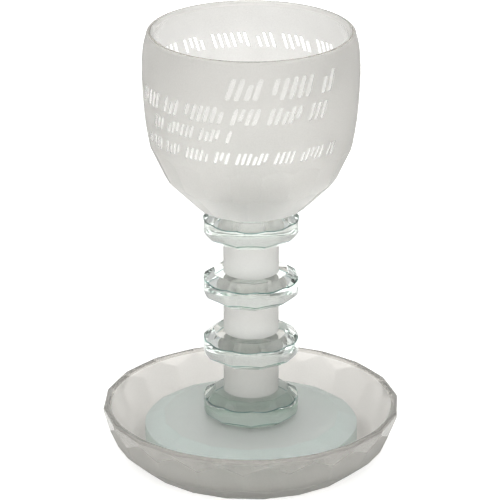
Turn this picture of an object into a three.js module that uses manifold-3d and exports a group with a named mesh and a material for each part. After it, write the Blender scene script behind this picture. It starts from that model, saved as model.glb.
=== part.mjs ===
// Kiddush cup of cut crystal on its matching saucer: a frosted bowl on a stem of clear
// faceted discs and frosted spacers, with a broad clear foot that rests in the saucer.
// Millimetres, +Z up. The origin is on the table, under the middle of the saucer.
// Azimuth is measured from the front (-Y) towards the right (+X).
import * as THREE from "three";
import { mergeVertices, toCreasedNormals } from "three/addons/utils/BufferGeometryUtils.js";
import Module from "manifold-3d";

const FRONT_FACET = THREE.MathUtils.degToRad(-3);
const CREASE_ANGLE = THREE.MathUtils.degToRad(12);

// Saucer: mid-facet radius and height where each row of flat cuts meets the next
const SAUCER_HEIGHT = 19.6;
const SAUCER_FLOOR = 4.5;
const SAUCER_SIDES = 20;
const SAUCER_SEGMENTS = 40;
const SAUCER_RIM_CUT = { radius: 51.2, height: 19 };
const SAUCER_SHOULDER_CUT = { radius: 50.75, height: 14 };
const SAUCER_WALL_CUT = { radius: 50.18, height: 14 };
const SAUCER_WAIST_CUT = { radius: 46.94, height: 6.47 };
const SAUCER_BASE_CUT = { radius: 39.24, height: 0 };
const SAUCER_BLANK_RADIUS = 53;
const SAUCER_FLOOR_RADIUS = 38.6;
const SAUCER_COVE_FOOT = { radius: 41.5, height: 5.4 };
const SAUCER_COVE = { radius: 43.2, height: 7.2 };
const SAUCER_INNER_RIM = { radius: 49, height: 18.8 };
const SAUCER_LIP_INNER = 49.8;
const SAUCER_LIP_OUTER = 51;

// Foot: a round plate with a ring of flat cuts around its top
const FOOT_HEIGHT = 10;
const FOOT_RADIUS = 37.1;
const FOOT_SIDES = 15;
const FOOT_SEGMENTS = 60;
const FOOT_TOP_APOTHEM = 30.3;
const FOOT_BEVEL = 2.9;
const FOOT_EDGE = 0.6;
const FOOT_FIRST_FACET = THREE.MathUtils.degToRad(10);

// Stem: clear discs, cut flat above and below, with a round spacer between each two
const DISC_HEIGHT = 9.9;
const DISC_RADIUS = 16.45;
const DISC_SIDES = 10;
const STEM_SEGMENTS = 40;
const DISC_FACE_APOTHEM = 12.65;
const DISC_UPPER_BEVEL = 2.5;
const DISC_LOWER_BEVEL = 2.6;
const DISC_FIRST_FACETS = [0, 24, 30.6, 18];
const SPACER_HEIGHT = 12.2;
const SPACER_RADIUS = 9.6;

// Bowl: heights are above its own underside
const BOWL_HEIGHT = 64.3;
const BOWL_SIDES = 20;
const BOWL_SEGMENTS = 60;
const BOWL_LIP = 1.3;
const BOWL_BLANK_RADIUS = 33.9;
const BOWL_BLANK_SHOULDER = 21.6;
const BOWL_CUT_TOP = { radius: 34.27, height: 24.8 };
const BOWL_CUT_UPPER = { radius: 28.85, height: 12.9 };
const BOWL_CUT_LOWER = { radius: 18.9, height: 2.8 };
const BOWL_CUT_BASE = { radius: 10.98, height: 0 };
const BOWL_OUTSIDE = [[34.47, 24.8], [35.95, 34.3], [36.85, 48.3], [36.5, 57.8], [35.35, 63]];
const BOWL_INSIDE = [
  [32.75, 63], [33.9, 53.3], [33.6, 43.3], [31, 25.8], [26.3, 15.3], [19.5, 9.1], [10, 5.5], [0, 4.8],
];
const BOWL_OUTSIDE_STEPS = 6;
const BOWL_INSIDE_STEPS = 9;
const LIP_STEPS = 4;

// Decoration: rows of short leaning bars, in groups, cut shallow into the bowl.
// Pitch is a share of the stroke's height, and width a share of the pitch.
const STROKE_DEPTH = 0.3;
const STROKE_CLEARANCE = 0.8;
const STROKE_LEAN = THREE.MathUtils.degToRad(18);
const STROKE_PITCH = 0.42;
const STROKE_WIDTH = 0.6;
const STROKE_SHORT = 0.75;
const STROKE_GROUPS = [4, 5, 3, 6];
const STROKE_ROWS = [
  { height: 55.3, tall: 7.2, from: -13, to: 49 },
  { height: 46, tall: 5.8, from: -75, to: 47 },
  { height: 38.7, tall: 4.6, from: -62, to: -9 },
  { height: 30.9, tall: 4.4, from: -74, to: 50 },
  { height: 49.8, tall: 5.6, from: 126, to: 234 },
];

const wasm = await Module();
wasm.setup();

const frosted = new THREE.MeshStandardMaterial({ color: 0xcfcfca, roughness: 0.5, metalness: 0 });
const clear = new THREE.MeshStandardMaterial({
  color: 0xd9e4e1,
  roughness: 0.04,
  metalness: 0,
  transparent: true,
  opacity: 0.45,
});

// Closed three.js geometry to solid
function solidOf(geometry) {
  const bare = geometry.clone();
  bare.deleteAttribute("normal");
  bare.deleteAttribute("uv");
  const merged = mergeVertices(bare, 1e-4);
  const corners = Array.from(merged.index.array);
  const kept = [];
  for (let i = 0; i < corners.length; i += 3) {
    const [a, b, c] = corners.slice(i, i + 3);
    if (a !== b && b !== c && c !== a) kept.push(a, b, c);
  }
  const vertProperties = new Float32Array(merged.attributes.position.array);
  const triVerts = new Uint32Array(kept);
  return new wasm.Manifold(new wasm.Mesh({ numProp: 3, vertProperties, triVerts }));
}

// Solid back to three.js geometry
function geometryOf(solid) {
  const mesh = solid.getMesh();
  const geometry = new THREE.BufferGeometry();
  geometry.setAttribute("position", new THREE.BufferAttribute(mesh.vertProperties, 3));
  geometry.setIndex(new THREE.BufferAttribute(mesh.triVerts, 1));
  return toCreasedNormals(geometry, CREASE_ANGLE);
}

// Solid of revolution about Z from radius and height pairs
function turned(profile, segments, startAzimuth) {
  const points = profile.map(([radius, height]) => new THREE.Vector2(radius, height));
  const geometry = new THREE.LatheGeometry(points, segments, startAzimuth);
  return solidOf(geometry.rotateX(Math.PI / 2));
}

// Many-sided frustum whose flats pass through two mid-facet points, as one row of flat cuts
function cutRow(lower, upper, sides, firstFacet, bottom, top) {
  const slope = (upper.radius - lower.radius) / (upper.height - lower.height);
  const corner = 1 / Math.cos(Math.PI / sides);
  const radiusAt = (height) => (lower.radius + slope * (height - lower.height)) * corner;
  const geometry = new THREE.CylinderGeometry(
    radiusAt(top), radiusAt(bottom), top - bottom, sides, 1, false, firstFacet + Math.PI / sides,
  );
  geometry.rotateX(Math.PI / 2);
  geometry.translate(0, 0, (top + bottom) / 2);
  return solidOf(geometry);
}

function smooth(points, steps) {
  const curve = new THREE.SplineCurve(points.map(([x, y]) => new THREE.Vector2(x, y)));
  return curve.getSpacedPoints(steps).map((p) => [p.x, p.y]);
}

function lipArc(centreRadius, centreHeight) {
  const arc = [];
  for (let i = 1; i < LIP_STEPS; i += 1) {
    const turn = (Math.PI * i) / LIP_STEPS;
    arc.push([centreRadius + BOWL_LIP * Math.cos(turn), centreHeight + BOWL_LIP * Math.sin(turn)]);
  }
  return arc;
}

function saucer() {
  const blank = turned([
    [0, 0],
    [SAUCER_BLANK_RADIUS, 0],
    [SAUCER_BLANK_RADIUS, SAUCER_HEIGHT - (SAUCER_BLANK_RADIUS - SAUCER_LIP_OUTER)],
    [SAUCER_LIP_OUTER, SAUCER_HEIGHT],
    [SAUCER_LIP_INNER, SAUCER_HEIGHT],
    [SAUCER_INNER_RIM.radius, SAUCER_INNER_RIM.height],
    [SAUCER_COVE.radius, SAUCER_COVE.height],
    [SAUCER_COVE_FOOT.radius, SAUCER_COVE_FOOT.height],
    [SAUCER_FLOOR_RADIUS, SAUCER_FLOOR],
    [0, SAUCER_FLOOR],
  ], SAUCER_SEGMENTS, FRONT_FACET);
  const stagger = FRONT_FACET + Math.PI / SAUCER_SIDES;
  const top = SAUCER_HEIGHT + 1;
  const rimRow = cutRow(SAUCER_SHOULDER_CUT, SAUCER_RIM_CUT, SAUCER_SIDES, FRONT_FACET, -1, top);
  const wallRow = cutRow(SAUCER_WAIST_CUT, SAUCER_WALL_CUT, SAUCER_SIDES, stagger, -1, top);
  const baseRow = cutRow(SAUCER_BASE_CUT, SAUCER_WAIST_CUT, SAUCER_SIDES, FRONT_FACET, -1, top);
  return blank.intersect(rimRow).intersect(wallRow).intersect(baseRow);
}

function foot() {
  const plate = turned([
    [0, 0],
    [FOOT_RADIUS - FOOT_EDGE, 0],
    [FOOT_RADIUS, FOOT_EDGE],
    [FOOT_RADIUS, FOOT_HEIGHT],
    [0, FOOT_HEIGHT],
  ], FOOT_SEGMENTS, FOOT_FIRST_FACET);
  const rim = { radius: FOOT_RADIUS, height: FOOT_HEIGHT - FOOT_BEVEL };
  const face = { radius: FOOT_TOP_APOTHEM, height: FOOT_HEIGHT };
  return plate.intersect(cutRow(rim, face, FOOT_SIDES, FOOT_FIRST_FACET, -1, FOOT_HEIGHT + 1));
}

function disc(firstFacet) {
  const profile = [[0, 0], [DISC_RADIUS, 0], [DISC_RADIUS, DISC_HEIGHT], [0, DISC_HEIGHT]];
  const plate = turned(profile, STEM_SEGMENTS, firstFacet);
  const underside = { radius: DISC_FACE_APOTHEM, height: 0 };
  const lowerRim = { radius: DISC_RADIUS, height: DISC_LOWER_BEVEL };
  const upperRim = { radius: DISC_RADIUS, height: DISC_HEIGHT - DISC_UPPER_BEVEL };
  const topside = { radius: DISC_FACE_APOTHEM, height: DISC_HEIGHT };
  const lowerRow = cutRow(underside, lowerRim, DISC_SIDES, firstFacet, -1, DISC_HEIGHT + 1);
  const upperRow = cutRow(upperRim, topside, DISC_SIDES, firstFacet, -1, DISC_HEIGHT + 1);
  return plate.intersect(lowerRow).intersect(upperRow);
}

function spacer() {
  const profile = [[0, 0], [SPACER_RADIUS, 0], [SPACER_RADIUS, SPACER_HEIGHT], [0, SPACER_HEIGHT]];
  return turned(profile, STEM_SEGMENTS, 0);
}

// Where the strokes of one row stand, and whether each is full height, high or low
function strokesOf(row, rowIndex, radius) {
  const pitch = THREE.MathUtils.radToDeg((STROKE_PITCH * row.tall) / radius);
  const strokes = [];
  let azimuth = row.from + pitch / 2;
  let group = rowIndex;
  let left = STROKE_GROUPS[group % STROKE_GROUPS.length];
  for (let count = 0; azimuth < row.to; azimuth += pitch) {
    if (left === 0) {
      group += 1;
      left = STROKE_GROUPS[group % STROKE_GROUPS.length];
      continue;
    }
    const kind = (count * 3 + rowIndex * 2) % 7;
    const share = kind < 5 ? 1 : STROKE_SHORT;
    const shift = kind < 5 ? 0 : (kind === 5 ? 0.5 : -0.5) * (1 - STROKE_SHORT) * row.tall;
    strokes.push({ azimuth, tall: row.tall * share, height: row.height + shift });
    left -= 1;
    count += 1;
  }
  return strokes;
}

// Leaning bar that sinks STROKE_DEPTH into the bowl and follows the slope of its wall
function strokeCutter(stroke, width, radius, slope) {
  const rise = stroke.tall / 2;
  const lean = rise * Math.tan(STROKE_LEAN);
  const bar = new THREE.Shape([
    new THREE.Vector2(-width / 2 - lean, -rise),
    new THREE.Vector2(width / 2 - lean, -rise),
    new THREE.Vector2(width / 2 + lean, rise),
    new THREE.Vector2(-width / 2 + lean, rise),
  ]);
  const depth = STROKE_DEPTH + STROKE_CLEARANCE;
  const geometry = new THREE.ExtrudeGeometry(bar, { depth, bevelEnabled: false });
  geometry.translate(0, 0, -STROKE_DEPTH);
  geometry.rotateX(Math.PI / 2 + Math.atan(slope));
  geometry.translate(0, -radius, stroke.height);
  geometry.rotateZ(THREE.MathUtils.degToRad(stroke.azimuth));
  return solidOf(geometry);
}

function bowl() {
  const lipHeight = BOWL_HEIGHT - BOWL_LIP;
  const lipRadius = BOWL_OUTSIDE.at(-1)[0] - BOWL_LIP;
  const outside = smooth(BOWL_OUTSIDE, BOWL_OUTSIDE_STEPS);
  const inside = smooth(BOWL_INSIDE, BOWL_INSIDE_STEPS);
  const blank = turned([
    [0, 0],
    [BOWL_BLANK_RADIUS, 0],
    [BOWL_BLANK_RADIUS, BOWL_BLANK_SHOULDER],
    ...outside,
    ...lipArc(lipRadius, lipHeight),
    ...inside,
  ], BOWL_SEGMENTS, FRONT_FACET);
  const stagger = FRONT_FACET + Math.PI / BOWL_SIDES;
  const top = BOWL_HEIGHT + 1;
  const upperRow = cutRow(BOWL_CUT_UPPER, BOWL_CUT_TOP, BOWL_SIDES, FRONT_FACET, -1, top);
  const middleRow = cutRow(BOWL_CUT_LOWER, BOWL_CUT_UPPER, BOWL_SIDES, stagger, -1, top);
  const lowerRow = cutRow(BOWL_CUT_BASE, BOWL_CUT_LOWER, BOWL_SIDES, FRONT_FACET, -1, top);
  let cup = blank.intersect(upperRow).intersect(middleRow).intersect(lowerRow);
  const radiusAt = (height) => {
    const i = outside.findIndex(([, z]) => z > height);
    const [r0, z0] = outside[i - 1];
    const [r1, z1] = outside[i];
    return r0 + ((r1 - r0) * (height - z0)) / (z1 - z0);
  };
  STROKE_ROWS.forEach((row, rowIndex) => {
    const radius = radiusAt(row.height);
    const slope = (radiusAt(row.height + 1) - radiusAt(row.height - 1)) / 2;
    const width = STROKE_WIDTH * STROKE_PITCH * row.tall;
    for (const stroke of strokesOf(row, rowIndex, radius)) {
      cup = cup.subtract(strokeCutter(stroke, width, radiusAt(stroke.height), slope));
    }
  });
  return cup;
}

function piece(name, solid, material, height) {
  const mesh = new THREE.Mesh(geometryOf(solid), material);
  mesh.name = name;
  mesh.position.z = height;
  return mesh;
}

// The stem is stacked from the foot up: a disc, then a spacer and a disc for each step
function cup() {
  const group = new THREE.Group();
  group.add(piece("foot", foot(), clear, 0));
  let height = FOOT_HEIGHT;
  for (let number = DISC_FIRST_FACETS.length; number >= 1; number -= 1) {
    const firstFacet = THREE.MathUtils.degToRad(DISC_FIRST_FACETS[number - 1]);
    group.add(piece(`stem_disc_${number}`, disc(firstFacet), clear, height));
    height += DISC_HEIGHT;
    if (number > 1) {
      group.add(piece(`stem_spacer_${number - 1}`, spacer(), frosted, height));
      height += SPACER_HEIGHT;
    }
  }
  group.add(piece("bowl", bowl(), frosted, height));
  group.position.z = SAUCER_FLOOR;
  return group;
}

const kiddushCup = new THREE.Group();
kiddushCup.add(piece("saucer", saucer(), frosted, 0), cup());

export default kiddushCup;
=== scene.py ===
import math

import bmesh
import bpy
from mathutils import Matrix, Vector
from mathutils.geometry import delaunay_2d_cdt


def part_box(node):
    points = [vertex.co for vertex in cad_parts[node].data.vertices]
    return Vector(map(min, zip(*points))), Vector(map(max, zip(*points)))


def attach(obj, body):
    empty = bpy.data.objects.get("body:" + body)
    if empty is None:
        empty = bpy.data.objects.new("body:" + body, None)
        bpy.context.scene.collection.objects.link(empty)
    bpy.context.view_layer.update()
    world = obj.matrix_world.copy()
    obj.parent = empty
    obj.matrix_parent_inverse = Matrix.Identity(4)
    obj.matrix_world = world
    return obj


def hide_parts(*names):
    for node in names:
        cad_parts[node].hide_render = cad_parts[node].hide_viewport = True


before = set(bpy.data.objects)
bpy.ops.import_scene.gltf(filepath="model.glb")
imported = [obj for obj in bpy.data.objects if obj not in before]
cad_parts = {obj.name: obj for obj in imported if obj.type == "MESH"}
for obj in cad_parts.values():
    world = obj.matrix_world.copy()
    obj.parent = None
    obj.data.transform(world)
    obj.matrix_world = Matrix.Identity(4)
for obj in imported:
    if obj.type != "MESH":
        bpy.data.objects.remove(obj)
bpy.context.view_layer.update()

# Kiddush cup of cut crystal in its saucer: finished meshes, glass, studio light and camera.
# Sizes are in millimetres and angles in degrees. Heights are above each piece's own underside.
# Azimuth is measured from the front (-Y) towards the right (+X).
MM = 0.001

# Shared by the cut pieces. An arris is the narrow flat along a cut edge, and the limit is the
# share of a side that it may take. The front facet is the azimuth of the facet nearest the front.
ARRIS = 0.1
FROSTED_ARRIS = 0.03
ARRIS_LIMIT = 0.4
FRONT_FACET = -3.0
SHARP_ANGLE = 6.0
SPLINE_STEPS = 24
WELD = 0.0001

# Glued faces overlap by this much, so that no film of air shows between them
SINK = 0.03

# Saucer: radius at mid-facet and height of two points on each row of flat cuts
SAUCER_HEIGHT = 19.6
SAUCER_FLOOR = 4.5
SAUCER_SIDES = 20
SAUCER_RIM_ROW = ((50.75, 14.0), (51.2, 19.0))
SAUCER_WALL_ROW = ((46.94, 6.47), (50.18, 14.0))
SAUCER_BASE_ROW = ((39.24, 0.0), (46.94, 6.47))
SAUCER_LIP_HEIGHT = 1.1
SAUCER_INNER_RIM = (48.9, 18.5)
SAUCER_INNER_WALL = (43.3, 7.4)
SAUCER_COVE = (41.9, SAUCER_FLOOR)
SAUCER_FLOOR_EDGE = (38.6, SAUCER_FLOOR)
SAUCER_FACET_STEPS = 5
SAUCER_LIP_STEPS = 32
SAUCER_WALL_STEPS = 12
SAUCER_COVE_STEPS = 16
SAUCER_FLOOR_STEPS = 6

# Foot. The contact is the radius of its face under the lowest disc.
FOOT_HEIGHT = 10.0
FOOT_RADIUS = 37.1
FOOT_SIDES = 15
FOOT_TOP_APOTHEM = 30.3
FOOT_BEVEL = 2.9
FOOT_EDGE = 0.6
FOOT_FIRST_FACET = 10.0
FOOT_GAP = 0.02
FOOT_CONTACT = 12.4
FOOT_FACET_STEPS = 6

# Stem
DISC_HEIGHT = 9.9
DISC_RADIUS = 16.45
DISC_SIDES = 10
DISC_ARRIS = 0.2
DISC_FACE_APOTHEM = 12.65
DISC_UPPER_BEVEL = 2.5
DISC_LOWER_BEVEL = 2.6
DISC_FIRST_FACETS = (0.0, 24.0, 30.6, 18.0)
DISC_FACET_STEPS = 6
SPACER_HEIGHT = 12.2
SPACER_RADIUS = 9.6
SPACER_CHAMFER = 0.15
SPACER_COLUMNS = 120

# Bowl: rows of flat cuts as on the saucer, outlines of the wall and the lining
BOWL_SIDES = 20
BOWL_LIP = 1.3
BOWL_UPPER_ROW = ((28.85, 12.9), (34.27, 24.8))
BOWL_MIDDLE_ROW = ((18.9, 2.8), (28.85, 12.9))
BOWL_LOWER_ROW = ((10.98, 0.0), (18.9, 2.8))
BOWL_BLANK_SHOULDER = (33.9, 21.6)
BOWL_OUTSIDE = ((34.47, 24.8), (35.95, 34.3), (36.85, 48.3), (36.5, 57.8), (35.35, 63.0))
BOWL_INSIDE = (
    (32.75, 63.0), (33.9, 53.3), (33.6, 43.3), (31.0, 25.8),
    (26.3, 15.3), (19.5, 9.1), (10.0, 5.5), (0.0, 4.8),
)
BOWL_FACET_STEPS = 5
BOWL_LINING_STEPS = 8
BOWL_SHOULDER_STEPS = 3
BOWL_RIM_STEPS = 4
BOWL_LIP_STEPS = {"frosted": 15, "edge": 7, "polished": 18}
CROSSING_STEPS = 40

# Band of the bowl's wall that carries the strokes, and the spacing of its mesh
BAND_LOW = 27.3
BAND_HIGH = 60.8
BAND_SEAM = 90.0
BAND_GRID = 1.6
BAND_GAP = 1e-6

# Rows of leaning strokes on the bowl: middle height, stroke height, first and last azimuth
STROKE_ROWS = (
    (55.3, 7.2, -13.0, 49.0),
    (46.0, 5.8, -75.0, 47.0),
    (38.7, 4.6, -62.0, -9.0),
    (30.9, 4.4, -74.0, 50.0),
    (49.8, 5.6, 126.0, 234.0),
)
STROKE_GROUPS = (4, 5, 3, 6)
STROKE_DEPTH = 0.12
STROKE_LEAN = 18.0
STROKE_PITCH = 0.42
STROKE_WIDTH = 0.6
STROKE_SHORT = 0.75
STROKE_SHIFTS = (0.0, 0.0, 0.0, 0.0, 0.0, 0.5, -0.5)
STROKE_SHIFT_STEP = 3
STROKE_ROW_STEP = 2
STROKE_EDGE = 0.08
STROKE_FULLNESS = 6.0
STROKE_STEPS = 24
STROKE_CLEAR = 0.45

# Glass: colour, share of light that passes and roughness of each finish
GLASS_IOR = 1.52
BOWL_LOOK = ((0.70, 0.69, 0.665), 0.9, 0.8)
# Painted light: the bowl's base is lighter, fading into the bowl's own colour between the two
# heights on the next line, to lift the shade at its bottom.
BOWL_PAINTED_LIGHT_TINT = (1.0, 0.995, 0.97)
BOWL_PAINTED_LIGHT_HEIGHTS = (3.0, 20.0)
BOWL_LIP_LOOK = ((0.90, 0.89, 0.87), 1.0, 0.36)
BOWL_EDGE_LOOK = ((0.42, 0.39, 0.34), 1.0, 0.2)
SPACER_LOOK = ((0.83, 0.825, 0.80), 0.65, 0.75)
SPACER_END_LOOK = ((0.99, 0.99, 0.985), 1.0, 0.05)
FOOT_TOP_LOOK = ((0.90, 0.92, 0.90), 0.6, 0.4)
FOOT_SIDE_LOOK = ((0.87, 0.935, 0.91), 0.6, 0.4)
FOOT_UNDER_LOOK = ((1.0, 1.0, 0.99), 0.3, 0.8)
FOOT_CONTACT_LOOK = ((0.98, 0.99, 0.985), 1.0, 0.06)
SAUCER_LOOK = ((0.53, 0.52, 0.495), 0.95, 0.75)
SAUCER_INSIDE_LOOK = ((0.93, 0.915, 0.89), 1.0, 0.38)
SAUCER_RIM_LOOK = ((0.55, 0.53, 0.50), 1.0, 0.2)

# Polished glass, and the tint that the body of the discs and the foot gives to passing light
LINING_TINT = (0.99, 0.99, 0.985)
STROKE_TINT = (0.86, 0.86, 0.85)
DISC_TINT = (0.985, 0.985, 0.97)
# Painted shade: dark teal on the discs' arrises for the dark edge lines that refraction shows
# there; the teal hue follows the glass's own colour.
DISC_ARRIS_SHADE_TINT = (0.13, 0.29, 0.33)
DISC_ABSORB_TINT = (0.6, 0.85, 0.74)
FOOT_ABSORB_TINT = (0.85, 0.95, 0.91)
ABSORB_DENSITY = 5.0

# Unevenness of the glass faces: noise scales are in cells per metre
NOISE_SPAN = (0.3, 0.7)
FINE_DETAIL = 2.0
ROUGHNESS_SCALE = 90
ROUGHNESS_DETAIL = 3.0
ROUGHNESS_SPREAD = 0.05
FROST_SCALE = 3500
FROST_STRENGTH = 0.12
FROST_DEPTH = 0.08
GRAIN_SCALE = 2400
GRAIN = 0.05
POLISH_SCALE = 160
POLISH_ROUGHNESS = 0.015

# Studio: a white tent that is darker at its two sides, over a floor that glows like a light table
TENT_SIDES = (0.55, 0.9)
TENT_DARK = 0.25
TENT_BRIGHT = 0.62
FLOOR_RADIUS = 4000.0
FLOOR_SEGMENTS = 64
FLOOR_DROP = 0.02
FLOOR_TINT = (0.9, 0.9, 0.89)
FLOOR_GLOW = 0.52
FLOOR_ROUGHNESS = (0.75, 0.85)
FLOOR_SCALE = 30

# Softboxes: name, place, width and height, power in watts. All face a point on the cup's axis.
SOFTBOXES = (
    ("top_softbox", (0.0, 100.0, 1300.0), (1400.0, 1400.0), 6.0),
    ("front_softbox", (200.0, -1300.0, 900.0), (1000.0, 1000.0), 8.0),
    ("left_softbox", (-1200.0, -500.0, 900.0), (800.0, 1000.0), 3.0),
)
SOFTBOX_AIM = (0.0, 0.0, 80.0)

# Light paths
GLASS_BOUNCES = 32
GLOSSY_BOUNCES = 12
DIFFUSE_BOUNCES = 4
INDIRECT_CLAMP = 8

# Photograph's camera, fitted to the rim, the discs and the saucer
CAMERA_BACK = 1073.9
CAMERA_HEIGHT = 494.44
CAMERA_PITCH = 21.292
CAMERA_YAW = 0.02
CAMERA_FOCAL_PIXELS = 3351.4
CAMERA_CLIP = (50.0, 20000.0)
FRAME_PIXELS = 500
SENSOR_WIDTH = 36.0

# Place of each finish in its piece's list of materials
SAUCER_WALL, SAUCER_INSIDE, SAUCER_RIM = range(3)
FOOT_UNDER, FOOT_GLUED, FOOT_SIDE, FOOT_TOP = range(4)
DISC_FACE, DISC_SHADED_ARRIS = range(2)
SPACER_WALL, SPACER_END = range(2)
BOWL_WALL, BOWL_LINING, BOWL_RIM, BOWL_EDGE, BOWL_STROKE = range(5)


def place(azimuth, radius, height):
    turn = math.radians(azimuth)
    return Vector((radius * math.sin(turn), -radius * math.cos(turn), height)) * MM


# Outlines

def spline(points, steps):
    """Catmull-Rom curve through the points, its ends included."""
    ends = [points[0], *points, points[-1]]
    curve = []
    for before, start, end, after in zip(ends, ends[1:], ends[2:], ends[3:]):
        for step in range(steps):
            t = step / steps
            curve.append(tuple(
                0.5 * (
                    2 * b + (c - a) * t
                    + (2 * a - 5 * b + 4 * c - d) * t * t
                    + (3 * b - a - 3 * c + d) * t ** 3
                )
                for a, b, c, d in zip(before, start, end, after)
            ))
    return curve + [tuple(points[-1])]


def radius_on(curve, height):
    """Radius of a rising curve at a height."""
    for (r0, z0), (r1, z1) in zip(curve, curve[1:]):
        if z0 <= height <= z1:
            return r0 + (r1 - r0) * (height - z0) / (z1 - z0)
    return curve[-1][0] if height > curve[-1][1] else curve[0][0]


def between(start, end, steps):
    """Points after start up to end, evenly spaced."""
    return [
        tuple(a + (b - a) * i / steps for a, b in zip(start, end))
        for i in range(1, steps + 1)
    ]


def climb(curve, low, high, steps):
    """Points on a rising curve after the low height up to the high one."""
    return [(radius_on(curve, z), z) for (z,) in between((low,), (high,), steps)]


def bend(start, corner, end, steps):
    """Points after start up to end on a curve that turns at the corner."""
    points = []
    for i in range(1, steps + 1):
        t = i / steps
        points.append(tuple(
            (1 - t) ** 2 * a + 2 * t * (1 - t) * b + t * t * c
            for a, b, c in zip(start, corner, end)
        ))
    return points


def half_round(outer, inner, rise, steps):
    """Points from outer over a round lip to inner, both at the same height."""
    middle, half = (outer[0] + inner[0]) / 2, (outer[0] - inner[0]) / 2
    turns = [math.pi * i / steps for i in range(1, steps + 1)]
    return [(middle + half * math.cos(t), outer[1] + rise * math.sin(t)) for t in turns]


def chamfer(profile, corners, width):
    """The profile with a narrow flat at each corner in the list."""
    points = []
    for i, point in enumerate(profile):
        if i not in corners:
            points.append(point)
            continue
        for other in (profile[i - 1], profile[i + 1]):
            reach = min(ARRIS_LIMIT, width / math.dist(point, other))
            points.append(tuple(a + (b - a) * reach for a, b in zip(point, other)))
    return points


# Rows of flat cuts

def cut_azimuths(sides, first, radius, arris, steps):
    """Azimuths with a pair beside each facet edge and mid-facet line, an arris apart."""
    half = 180 / sides
    arris = math.degrees(arris / radius)
    starts = [first + half * i + arris for i in range(2 * sides)]
    return [start + (half - 2 * arris) * i / steps for start in starts for i in range(steps + 1)]


def stretch(azimuth, sides, first, radius, arris):
    """How much farther than mid-facet a row's flat lies at this azimuth."""
    pitch = 360 / sides
    offset = abs((azimuth - first + pitch / 2) % pitch - pitch / 2)
    return 1 / math.cos(math.radians(min(offset, pitch / 2 - math.degrees(arris / radius))))


def row_line(row, scale):
    """Radius at height zero and slope of a row's flat."""
    (r0, z0), (r1, z1) = row
    slope = (r1 - r0) / (z1 - z0)
    return scale * (r0 - slope * z0), scale * slope


def meet(first, second):
    """Point where two flats cross."""
    height = (second[0] - first[0]) / (first[1] - second[1])
    return first[0] + first[1] * height, height


def crossing(line, curve, low, high):
    """Height between two others at which a row's flat comes out of a rising curve."""
    for _ in range(CROSSING_STEPS):
        middle = (low + high) / 2
        if line[0] + line[1] * middle < radius_on(curve, middle):
            low = middle
        else:
            high = middle
    return low


# Meshes

def skin(bm, azimuths, profiles, finishes):
    """Faces between neighbouring upright profiles. A point on the axis is shared by all of them."""
    poles = {}
    columns = []
    for azimuth, profile in zip(azimuths, profiles):
        column = []
        for k, (radius, height) in enumerate(profile):
            if radius == 0 and k not in poles:
                poles[k] = bm.verts.new(place(0, 0, height))
            column.append(poles[k] if radius == 0 else bm.verts.new(place(azimuth, radius, height)))
        columns.append(column)
    for left, right in zip(columns, columns[1:] + columns[:1]):
        for k, finish in enumerate(finishes):
            corners = (left[k], right[k], right[k + 1], left[k + 1])
            face = bm.faces.new(dict.fromkeys(corners))
            face.material_index = finish
            face.smooth = True


def dress(bm, name, materials):
    """Makes the mesh a piece that stands where the node of the same name does, and replaces it."""
    bmesh.ops.remove_doubles(bm, verts=bm.verts, dist=WELD * MM)
    mesh = bpy.data.meshes.new(f"{name}_mesh")
    bm.to_mesh(mesh)
    bm.free()
    mesh.set_sharp_from_angle(angle=math.radians(SHARP_ANGLE))
    for material in materials:
        mesh.materials.append(material)
    piece = bpy.data.objects.new(f"{name}_finished", mesh)
    piece.location.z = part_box(name)[0].z
    bpy.context.collection.objects.link(piece)
    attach(piece, "root")
    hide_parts(name)
    return piece


def make_saucer(materials):
    rim_radius = SAUCER_RIM_ROW[1][0]
    azimuths = cut_azimuths(
        SAUCER_SIDES, FRONT_FACET, rim_radius, FROSTED_ARRIS, SAUCER_FACET_STEPS
    )
    stagger = FRONT_FACET + 180 / SAUCER_SIDES
    lip_height = SAUCER_HEIGHT - SAUCER_LIP_HEIGHT
    profiles = []
    for azimuth in azimuths:
        even = stretch(azimuth, SAUCER_SIDES, FRONT_FACET, rim_radius, FROSTED_ARRIS)
        odd = stretch(azimuth, SAUCER_SIDES, stagger, rim_radius, FROSTED_ARRIS)
        base, wall = row_line(SAUCER_BASE_ROW, even), row_line(SAUCER_WALL_ROW, odd)
        rim = row_line(SAUCER_RIM_ROW, even)
        outer = (rim[0] + rim[1] * lip_height, lip_height)
        cuts = [(0.0, 0.0), (base[0], 0.0), meet(base, wall), meet(wall, rim), outer]
        profile = chamfer(cuts, (1, 2, 3), FROSTED_ARRIS)
        profile += half_round(outer, SAUCER_INNER_RIM, SAUCER_LIP_HEIGHT, SAUCER_LIP_STEPS)
        profile += between(SAUCER_INNER_RIM, SAUCER_INNER_WALL, SAUCER_WALL_STEPS)
        profile += bend(SAUCER_INNER_WALL, SAUCER_COVE, SAUCER_FLOOR_EDGE, SAUCER_COVE_STEPS)
        profile += between(SAUCER_FLOOR_EDGE, (0.0, SAUCER_FLOOR), SAUCER_FLOOR_STEPS)
        profiles.append(profile)
    # Frosted: underside, base and wall rows with the arrises between them. The rim's finish takes
    # the next arris, the rim row and the lip up to its last face.
    finishes = [SAUCER_WALL] * 5 + [SAUCER_RIM] * (SAUCER_LIP_STEPS + 1)
    finishes += [SAUCER_INSIDE] * (len(profiles[0]) - 1 - len(finishes))
    bm = bmesh.new()
    skin(bm, azimuths, profiles, finishes)
    return dress(bm, "saucer", materials)


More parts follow.
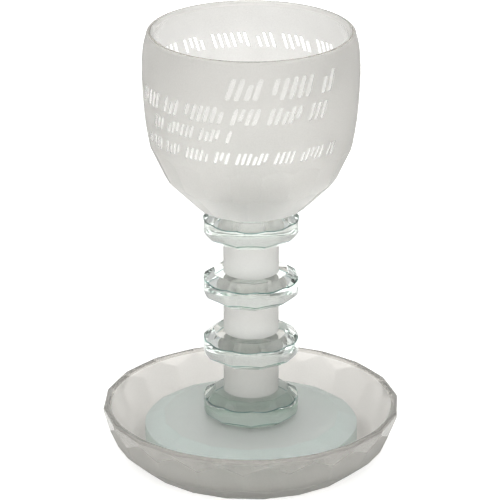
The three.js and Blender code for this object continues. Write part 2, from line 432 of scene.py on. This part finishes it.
def make_foot(materials):
    azimuths = cut_azimuths(FOOT_SIDES, FOOT_FIRST_FACET, FOOT_RADIUS, ARRIS, FOOT_FACET_STEPS)
    slope = FOOT_BEVEL / (FOOT_RADIUS - FOOT_TOP_APOTHEM)
    profiles = []
    for azimuth in azimuths:
        scale = stretch(azimuth, FOOT_SIDES, FOOT_FIRST_FACET, FOOT_RADIUS, ARRIS)
        drop = (FOOT_RADIUS / scale - FOOT_TOP_APOTHEM) * slope
        profiles.append(chamfer([
            (0.0, FOOT_GAP),
            (FOOT_RADIUS - FOOT_EDGE, FOOT_GAP),
            (FOOT_RADIUS, FOOT_GAP + FOOT_EDGE),
            (FOOT_RADIUS, FOOT_HEIGHT - drop),
            (FOOT_TOP_APOTHEM * scale, FOOT_HEIGHT),
            (FOOT_CONTACT, FOOT_HEIGHT),
            (0.0, FOOT_HEIGHT),
        ], (3, 4), ARRIS))
    # The sides are the lower edge, the upright wall and the bevel between its two arrises
    finishes = [FOOT_UNDER] + [FOOT_SIDE] * 5 + [FOOT_TOP, FOOT_GLUED]
    bm = bmesh.new()
    skin(bm, azimuths, profiles, finishes)
    return dress(bm, "foot", materials)


def make_disc(number, materials):
    first = DISC_FIRST_FACETS[number - 1]
    azimuths = cut_azimuths(DISC_SIDES, first, DISC_RADIUS, DISC_ARRIS, DISC_FACET_STEPS)
    on_foot = number == len(DISC_FIRST_FACETS)
    under = -SINK if on_foot else 0.0
    depth = DISC_RADIUS - DISC_FACE_APOTHEM
    profiles = []
    for azimuth in azimuths:
        scale = stretch(azimuth, DISC_SIDES, first, DISC_RADIUS, DISC_ARRIS)
        reach = (DISC_RADIUS / scale - DISC_FACE_APOTHEM) / depth
        profiles.append(chamfer([
            (0.0, under),
            (DISC_FACE_APOTHEM * scale, under),
            (DISC_RADIUS, DISC_LOWER_BEVEL * reach),
            (DISC_RADIUS, DISC_HEIGHT - DISC_UPPER_BEVEL * reach),
            (DISC_FACE_APOTHEM * scale, DISC_HEIGHT),
            (0.0, DISC_HEIGHT),
        ], (1, 2, 3, 4), DISC_ARRIS))
    # Underside, lower bevel and girdle, each with the arris above it in dark teal painted shade.
    # The rest is clear.
    finishes = [DISC_FACE, DISC_SHADED_ARRIS] * 3
    finishes += [DISC_FACE] * (len(profiles[0]) - 1 - len(finishes))
    bm = bmesh.new()
    skin(bm, azimuths, profiles, finishes)
    return dress(bm, f"stem_disc_{number}", materials)


def make_spacer(number, materials):
    azimuths = [360 * i / SPACER_COLUMNS for i in range(SPACER_COLUMNS)]
    profile = chamfer([
        (0.0, -SINK),
        (SPACER_RADIUS, -SINK),
        (SPACER_RADIUS, SPACER_HEIGHT + SINK),
        (0.0, SPACER_HEIGHT + SINK),
    ], (1, 2), SPACER_CHAMFER)
    # The wall is the upright face and the chamfer at each end
    finishes = [SPACER_END] + [SPACER_WALL] * 3 + [SPACER_END]
    bm = bmesh.new()
    skin(bm, azimuths, [profile] * len(azimuths), finishes)
    return dress(bm, f"stem_spacer_{number}", materials)


# Bowl

def strokes_of(index, row, radius):
    """Azimuth, height and length of each stroke in a row: most full height, some high or low."""
    height, tall, first, last = row
    pitch = math.degrees(STROKE_PITCH * tall / radius)
    strokes = []
    group, count = index, 0
    left = STROKE_GROUPS[group % len(STROKE_GROUPS)]
    azimuth = first + pitch / 2
    while azimuth < last:
        if left:
            kind = (count * STROKE_SHIFT_STEP + index * STROKE_ROW_STEP) % len(STROKE_SHIFTS)
            shift = STROKE_SHIFTS[kind] * (1 - STROKE_SHORT) * tall
            share = STROKE_SHORT if shift else 1.0
            strokes.append((azimuth, height + shift, tall * share))
            left -= 1
            count += 1
        else:
            group += 1
            left = STROKE_GROUPS[group % len(STROKE_GROUPS)]
        azimuth += pitch
    return strokes


def stroke_outline(along, height, tall, width):
    """Bar with rounded corners that leans to the right, as distances along the wall and heights."""
    outline = []
    for i in range(STROKE_STEPS):
        turn = 2 * math.pi * (i + 0.5) / STROKE_STEPS
        across, up = math.cos(turn), math.sin(turn)
        x = math.copysign(abs(across) ** (2 / STROKE_FULLNESS), across) * width / 2
        y = math.copysign(abs(up) ** (2 / STROKE_FULLNESS), up) * tall / 2
        outline.append((along + x + y * math.tan(math.radians(STROKE_LEAN)), height + y))
    return outline


def band_grid(left, right, keep_out):
    """Staggered points on the unrolled band, clear of the leaning strokes."""
    lean = math.tan(math.radians(STROKE_LEAN))

    def clear(x, z):
        return not any(
            abs(x - middle - (z - height) * lean) < wide and abs(z - height) < long
            for middle, height, long, wide in keep_out
        )

    columns = round((right - left) / BAND_GRID)
    rows = round((BAND_HIGH - BAND_LOW) / BAND_GRID)
    points = []
    for j in range(1, rows):
        z = BAND_LOW + (BAND_HIGH - BAND_LOW) * j / rows
        for i in range(columns + 1):
            shift = 0.5 if j % 2 and 0 < i < columns else 0.0
            x = left + (right - left) * (i - shift) / columns
            if clear(x, z):
                points.append((x, z))
    return points


def stroke_band(bm, azimuths, wall):
    """The bowl's outer wall between two heights, with every stroke sunk into it.

    The band is unrolled, cut into triangles round the strokes' outlines and rolled up again.
    """
    ring = radius_on(wall, (BAND_LOW + BAND_HIGH) / 2)
    start = BAND_SEAM - 360

    def along(azimuth):
        return math.radians(azimuth) * ring

    def unrolled(azimuth):
        return (azimuth - start) % 360 + start

    columns = sorted({unrolled(azimuth) for azimuth in azimuths} | {start, BAND_SEAM})
    points = [(along(azimuth), z) for azimuth in columns for z in (BAND_LOW, BAND_HIGH)]
    floors = set()
    loops = []
    keep_out = []
    for index, row in enumerate(STROKE_ROWS):
        width = STROKE_WIDTH * STROKE_PITCH * row[1]
        for azimuth, height, tall in strokes_of(index, row, radius_on(wall, row[0])):
            middle = along(unrolled(azimuth))
            keep_out.append((middle, height, tall / 2 + STROKE_CLEAR, width / 2 + STROKE_CLEAR))
            for inset in (0.0, STROKE_EDGE):
                outline = stroke_outline(middle, height, tall - 2 * inset, width - 2 * inset)
                loops.append(list(range(len(points), len(points) + len(outline))))
                if inset:
                    floors.update(loops[-1])
                points += outline
    points += band_grid(along(start), along(BAND_SEAM), keep_out)
    flat = [Vector(point) for point in points]
    found, _, faces, origins, _, inside = delaunay_2d_cdt(flat, [], loops, 0, BAND_GAP, True)
    verts = []
    for point, sources in zip(found, origins):
        depth = STROKE_DEPTH if floors.intersection(sources) else 0.0
        radius = radius_on(wall, point.y) - depth
        verts.append(bm.verts.new(place(math.degrees(point.x / ring), radius, point.y)))
    for corners, within in zip(faces, inside):
        face = bm.faces.new([verts[i] for i in corners])
        face.material_index = BOWL_STROKE if within else BOWL_WALL
        face.smooth = True


def make_bowl(materials):
    wall = [BOWL_BLANK_SHOULDER, *spline(BOWL_OUTSIDE, SPLINE_STEPS)]
    lining = spline(BOWL_INSIDE, BOWL_LINING_STEPS)
    shoulder = BOWL_UPPER_ROW[1][0]
    azimuths = cut_azimuths(BOWL_SIDES, FRONT_FACET, shoulder, FROSTED_ARRIS, BOWL_FACET_STEPS)
    stagger = FRONT_FACET + 180 / BOWL_SIDES
    below = []
    for azimuth in azimuths:
        even = stretch(azimuth, BOWL_SIDES, FRONT_FACET, shoulder, FROSTED_ARRIS)
        odd = stretch(azimuth, BOWL_SIDES, stagger, shoulder, FROSTED_ARRIS)
        lower, middle = row_line(BOWL_LOWER_ROW, even), row_line(BOWL_MIDDLE_ROW, odd)
        upper = row_line(BOWL_UPPER_ROW, even)
        top = crossing(upper, wall, BOWL_BLANK_SHOULDER[1], BAND_LOW)
        cuts = [
            (0.0, -SINK), (lower[0], -SINK), meet(lower, middle), meet(middle, upper),
            (radius_on(wall, top), top),
        ]
        below.append(
            chamfer(cuts, (1, 2, 3), FROSTED_ARRIS)
            + climb(wall, top, BAND_LOW, BOWL_SHOULDER_STEPS)
        )
    rim = climb(wall, BAND_HIGH, BOWL_OUTSIDE[-1][1], BOWL_RIM_STEPS)
    lip = half_round(rim[-1], BOWL_INSIDE[0], BOWL_LIP, sum(BOWL_LIP_STEPS.values()))
    above = [(radius_on(wall, BAND_HIGH), BAND_HIGH), *rim, *lip, *lining[1:]]
    finishes = [BOWL_WALL] * (BOWL_RIM_STEPS + BOWL_LIP_STEPS["frosted"])
    finishes += [BOWL_EDGE] * BOWL_LIP_STEPS["edge"] + [BOWL_RIM] * BOWL_LIP_STEPS["polished"]
    finishes += [BOWL_LINING] * (len(above) - 1 - len(finishes))
    bm = bmesh.new()
    skin(bm, azimuths, below, [BOWL_WALL] * (len(below[0]) - 1))
    stroke_band(bm, azimuths, wall)
    skin(bm, azimuths, [above] * len(azimuths), finishes)
    return dress(bm, "bowl", materials)


# Materials

def glass(name, tint, see_through):
    material = bpy.data.materials.new(name)
    material.use_nodes = True
    shader = material.node_tree.nodes["Principled BSDF"]
    shader.inputs["Base Color"].default_value = (*tint, 1)
    shader.inputs["IOR"].default_value = GLASS_IOR
    shader.inputs["Transmission Weight"].default_value = see_through
    return material, shader


def add_noise(material, scale, detail, low, high, target):
    """Noise in the piece's own space, spread between two values, into a shader socket."""
    tree = material.node_tree
    coords = tree.nodes.new("ShaderNodeTexCoord")
    noise = tree.nodes.new("ShaderNodeTexNoise")
    noise.inputs["Scale"].default_value = scale
    noise.inputs["Detail"].default_value = detail
    spread = tree.nodes.new("ShaderNodeMapRange")
    spread.inputs["From Min"].default_value = NOISE_SPAN[0]
    spread.inputs["From Max"].default_value = NOISE_SPAN[1]
    spread.inputs["To Min"].default_value = low
    spread.inputs["To Max"].default_value = high
    tree.links.new(coords.outputs["Object"], noise.inputs["Vector"])
    tree.links.new(noise.outputs["Fac"], spread.inputs["Value"])
    tree.links.new(spread.outputs["Result"], target)


def add_frost(material, shader):
    """Fine bumps of a sandblasted face."""
    bump = material.node_tree.nodes.new("ShaderNodeBump")
    bump.inputs["Strength"].default_value = FROST_STRENGTH
    bump.inputs["Distance"].default_value = FROST_DEPTH * MM
    add_noise(material, FROST_SCALE, FINE_DETAIL, 0.0, 1.0, bump.inputs["Height"])
    material.node_tree.links.new(bump.outputs["Normal"], shader.inputs["Normal"])


def add_grain(material, shader, tint):
    """Fine grain of a sandblasted face in its colour."""
    tree = material.node_tree
    grain = tree.nodes.new("ShaderNodeMix")
    grain.name = "grain"
    grain.data_type = "RGBA"
    grain.blend_type = "MULTIPLY"
    grain.inputs["Factor"].default_value = 1.0
    grain.inputs["A"].default_value = (*tint, 1)
    add_noise(material, GRAIN_SCALE, FINE_DETAIL, 1 - GRAIN, 1 + GRAIN, grain.inputs["B"])
    tree.links.new(grain.outputs["Result"], shader.inputs["Base Color"])


def add_painted_light_fade(material, lit_tint, tint, heights):
    """Painted light: a lighter colour at the base of the piece, changing into its own colour up its
    wall, to lift the shade there.
    """
    tree = material.node_tree
    coords = tree.nodes.new("ShaderNodeTexCoord")
    parts = tree.nodes.new("ShaderNodeSeparateXYZ")
    rise = tree.nodes.new("ShaderNodeMapRange")
    rise.interpolation_type = "SMOOTHSTEP"
    rise.inputs["From Min"].default_value = heights[0] * MM
    rise.inputs["From Max"].default_value = heights[1] * MM
    mix = tree.nodes.new("ShaderNodeMix")
    mix.data_type = "RGBA"
    mix.inputs["A"].default_value = (*lit_tint, 1)
    mix.inputs["B"].default_value = (*tint, 1)
    tree.links.new(coords.outputs["Object"], parts.inputs["Vector"])
    tree.links.new(parts.outputs["Z"], rise.inputs["Value"])
    tree.links.new(rise.outputs["Result"], mix.inputs["Factor"])
    tree.links.new(mix.outputs["Result"], tree.nodes["grain"].inputs["A"])


def absorb(material, tint):
    """The glass itself takes a little of the light that passes through it."""
    volume = material.node_tree.nodes.new("ShaderNodeVolumeAbsorption")
    volume.inputs["Color"].default_value = (*tint, 1)
    volume.inputs["Density"].default_value = ABSORB_DENSITY
    output = material.node_tree.nodes["Material Output"]
    material.node_tree.links.new(volume.outputs["Volume"], output.inputs["Volume"])


def frosted_glass(name, look):
    tint, see_through, roughness = look
    material, shader = glass(name, tint, see_through)
    low, high = roughness - ROUGHNESS_SPREAD, roughness + ROUGHNESS_SPREAD
    add_noise(material, ROUGHNESS_SCALE, ROUGHNESS_DETAIL, low, high, shader.inputs["Roughness"])
    add_frost(material, shader)
    add_grain(material, shader, tint)
    return material


def polished_glass(name, tint):
    material, shader = glass(name, tint, 1.0)
    roughness = shader.inputs["Roughness"]
    add_noise(material, POLISH_SCALE, FINE_DETAIL, 0.0, POLISH_ROUGHNESS, roughness)
    return material


# Studio

def make_floor():
    bm = bmesh.new()
    bmesh.ops.create_circle(
        bm, cap_ends=True, radius=FLOOR_RADIUS * MM, segments=FLOOR_SEGMENTS
    )
    mesh = bpy.data.meshes.new("floor_mesh")
    bm.to_mesh(mesh)
    bm.free()
    floor = bpy.data.objects.new("floor", mesh)
    floor.location.z = -FLOOR_DROP * MM
    bpy.context.collection.objects.link(floor)
    material = bpy.data.materials.new("pale_floor")
    material.use_nodes = True
    shader = material.node_tree.nodes["Principled BSDF"]
    shader.inputs["Base Color"].default_value = (*FLOOR_TINT, 1)
    shader.inputs["Emission Color"].default_value = (1, 1, 1, 1)
    shader.inputs["Emission Strength"].default_value = FLOOR_GLOW
    add_noise(material, FLOOR_SCALE, FINE_DETAIL, *FLOOR_ROUGHNESS, shader.inputs["Roughness"])
    mesh.materials.append(material)


def make_softbox(name, position, size, power):
    data = bpy.data.lights.new(name, "AREA")
    data.shape = "RECTANGLE"
    data.size, data.size_y = size[0] * MM, size[1] * MM
    data.energy = power
    light = bpy.data.objects.new(name, data)
    light.location = Vector(position) * MM
    light.rotation_mode = "QUATERNION"
    towards = Vector(SOFTBOX_AIM) - Vector(position)
    light.rotation_quaternion = towards.to_track_quat("-Z", "Y")
    bpy.context.collection.objects.link(light)


def make_tent():
    """Light from all round, less of it from the far left and right."""
    world = bpy.data.worlds.new("studio")
    world.use_nodes = True
    tree = world.node_tree
    coords = tree.nodes.new("ShaderNodeTexCoord")
    parts = tree.nodes.new("ShaderNodeSeparateXYZ")
    aside = tree.nodes.new("ShaderNodeMath")
    aside.operation = "ABSOLUTE"
    ramp = tree.nodes.new("ShaderNodeMapRange")
    ramp.interpolation_type = "SMOOTHSTEP"
    ramp.inputs["From Min"].default_value = TENT_SIDES[0]
    ramp.inputs["From Max"].default_value = TENT_SIDES[1]
    ramp.inputs["To Min"].default_value = TENT_BRIGHT
    ramp.inputs["To Max"].default_value = TENT_DARK
    tree.links.new(coords.outputs["Generated"], parts.inputs["Vector"])
    tree.links.new(parts.outputs["X"], aside.inputs[0])
    tree.links.new(aside.outputs["Value"], ramp.inputs["Value"])
    tree.links.new(ramp.outputs["Result"], tree.nodes["Background"].inputs["Strength"])
    tree.nodes["Background"].inputs["Color"].default_value = (1, 1, 1, 1)
    bpy.context.scene.world = world


def make_studio():
    make_tent()
    for softbox in SOFTBOXES:
        make_softbox(*softbox)
    scene = bpy.context.scene
    scene.view_settings.view_transform = "Standard"
    scene.cycles.max_bounces = GLASS_BOUNCES
    scene.cycles.transmission_bounces = GLASS_BOUNCES
    scene.cycles.glossy_bounces = GLOSSY_BOUNCES
    scene.cycles.diffuse_bounces = DIFFUSE_BOUNCES
    scene.cycles.sample_clamp_indirect = INDIRECT_CLAMP
    scene.cycles.use_denoising = True


def make_camera():
    data = bpy.data.cameras.new("camera")
    data.sensor_width = SENSOR_WIDTH
    data.lens = CAMERA_FOCAL_PIXELS / FRAME_PIXELS * SENSOR_WIDTH
    data.clip_start, data.clip_end = CAMERA_CLIP[0] * MM, CAMERA_CLIP[1] * MM
    camera = bpy.data.objects.new("camera", data)
    camera.location = (0, -CAMERA_BACK * MM, CAMERA_HEIGHT * MM)
    camera.rotation_euler = (math.radians(90 - CAMERA_PITCH), 0, math.radians(CAMERA_YAW))
    bpy.context.collection.objects.link(camera)
    bpy.context.scene.camera = camera


bowl_wall = frosted_glass("frosted_bowl_crystal", BOWL_LOOK)
# Painted light on the bowl: a lighter base that lifts the shade there.
add_painted_light_fade(bowl_wall, BOWL_PAINTED_LIGHT_TINT, BOWL_LOOK[0], BOWL_PAINTED_LIGHT_HEIGHTS)
saucer_wall = frosted_glass("frosted_crystal", SAUCER_LOOK)
spacer_wall = frosted_glass("pillar_crystal", SPACER_LOOK)
spacer_end = frosted_glass("pillar_end_crystal", SPACER_END_LOOK)
bowl_lip = frosted_glass("lip_crystal", BOWL_LIP_LOOK)
bowl_edge = frosted_glass("lip_edge_crystal", BOWL_EDGE_LOOK)
foot_under = frosted_glass("ground_crystal", FOOT_UNDER_LOOK)
foot_side = frosted_glass("satin_bevel_crystal", FOOT_SIDE_LOOK)
foot_top = frosted_glass("satin_top_crystal", FOOT_TOP_LOOK)
foot_contact = frosted_glass("contact_crystal", FOOT_CONTACT_LOOK)
saucer_inside = frosted_glass("saucer_inside_crystal", SAUCER_INSIDE_LOOK)
saucer_rim = frosted_glass("saucer_rim_crystal", SAUCER_RIM_LOOK)
bowl_lining = polished_glass("polished_crystal", LINING_TINT)
bowl_stroke = polished_glass("stroke_crystal", STROKE_TINT)
disc_face = polished_glass("clear_crystal", DISC_TINT)
# The arrises get dark teal painted shade for the dark edge lines of the cut glass.
disc_arris_shade = polished_glass("arris_painted_shade_crystal", DISC_ARRIS_SHADE_TINT)
for disc_glass in (disc_face, disc_arris_shade):
    absorb(disc_glass, DISC_ABSORB_TINT)
for foot_glass in (foot_side, foot_top, foot_contact, foot_under):
    absorb(foot_glass, FOOT_ABSORB_TINT)

make_camera()
make_floor()
make_studio()
make_saucer([saucer_wall, saucer_inside, saucer_rim])
make_foot([foot_under, foot_contact, foot_side, foot_top])
for disc_number in range(1, len(DISC_FIRST_FACETS) + 1):
    make_disc(disc_number, [disc_face, disc_arris_shade])
for spacer_number in range(1, len(DISC_FIRST_FACETS)):
    make_spacer(spacer_number, [spacer_wall, spacer_end])
make_bowl([bowl_wall, bowl_lining, bowl_lip, bowl_edge, bowl_stroke])
